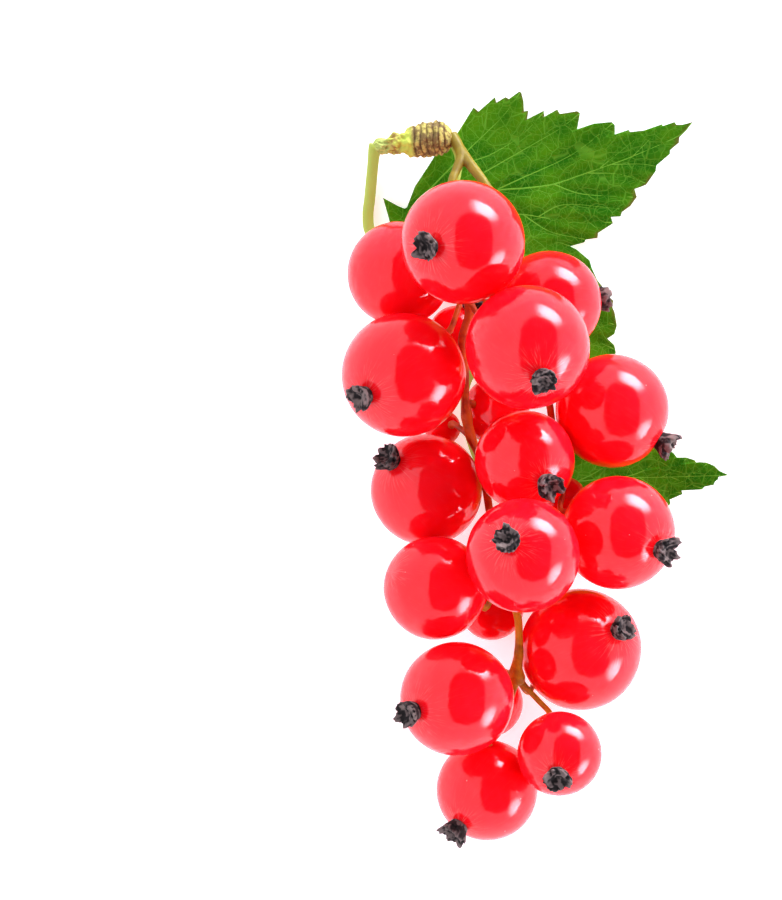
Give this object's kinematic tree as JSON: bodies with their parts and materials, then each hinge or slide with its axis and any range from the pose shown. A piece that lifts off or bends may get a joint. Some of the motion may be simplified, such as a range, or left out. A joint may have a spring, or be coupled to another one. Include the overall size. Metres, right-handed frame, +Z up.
{
  "type": "redcurrant sprig",
  "caption": "Picked sprig of ripe redcurrants lying on its side: glossy round berries with withered flower tips on a forked stalk, with a woody spur and toothed leaves.",
  "frame": {"origin": "centre of the sprig's bounding box seen from above, at the height of the surface that it lies on", "axes": "+X to the right of the sprig, towards the leaf tips; +Y along the bunch towards the woody spur; +Z up from the surface that it lies on"},
  "size_m": [0.0343, 0.0671, 0.0218],
  "materials": {
    "berry_red": "smooth, glossy, thin translucent skin over red juice and pulp, with faint pale veins near the withered flower",
    "dry_flower": "dry, wrinkled, matt dark brown to black petals",
    "stem_ochre": "smooth green-ochre stalk, turning orange-brown between the berries, slight sheen",
    "spur_bark": "matt tan bark with dark ring scars and small papery scales",
    "leaf_green": "soft mid-green leaf with raised paler veins and a low waxy sheen"
  },
  "bodies": {
    "root": {"berry_01": "berry_red", "berry_02": "berry_red", "berry_03": "berry_red", "berry_04": "berry_red", "berry_05": "berry_red", "berry_06": "berry_red", "berry_07": "berry_red", "berry_08": "berry_red", "berry_09": "berry_red", "berry_10": "berry_red", "berry_11": "berry_red", "berry_12": "berry_red", "berry_13": "berry_red", "berry_14": "berry_red", "berry_15": "berry_red", "berry_16": "berry_red", "berry_17": "berry_red", "berry_18": "berry_red", "berry_19": "berry_red", "berry_20": "berry_red", "berry_21": "berry_red", "calyx_01": "dry_flower", "calyx_02": "dry_flower", "calyx_03": "dry_flower", "calyx_04": "dry_flower", "calyx_05": "dry_flower", "calyx_06": "dry_flower", "calyx_07": "dry_flower", "calyx_08": "dry_flower", "calyx_09": "dry_flower", "calyx_10": "dry_flower", "calyx_12": "dry_flower", "calyx_13": "dry_flower", "calyx_14": "dry_flower", "calyx_15": "dry_flower", "calyx_16": "dry_flower", "calyx_17": "dry_flower", "calyx_18": "dry_flower", "calyx_19": "dry_flower", "calyx_20": "dry_flower", "strig": "stem_ochre", "spur": "spur_bark", "leaf_upper": "leaf_green", "leaf_lower": "leaf_green"}
  },
  "joints": []
}
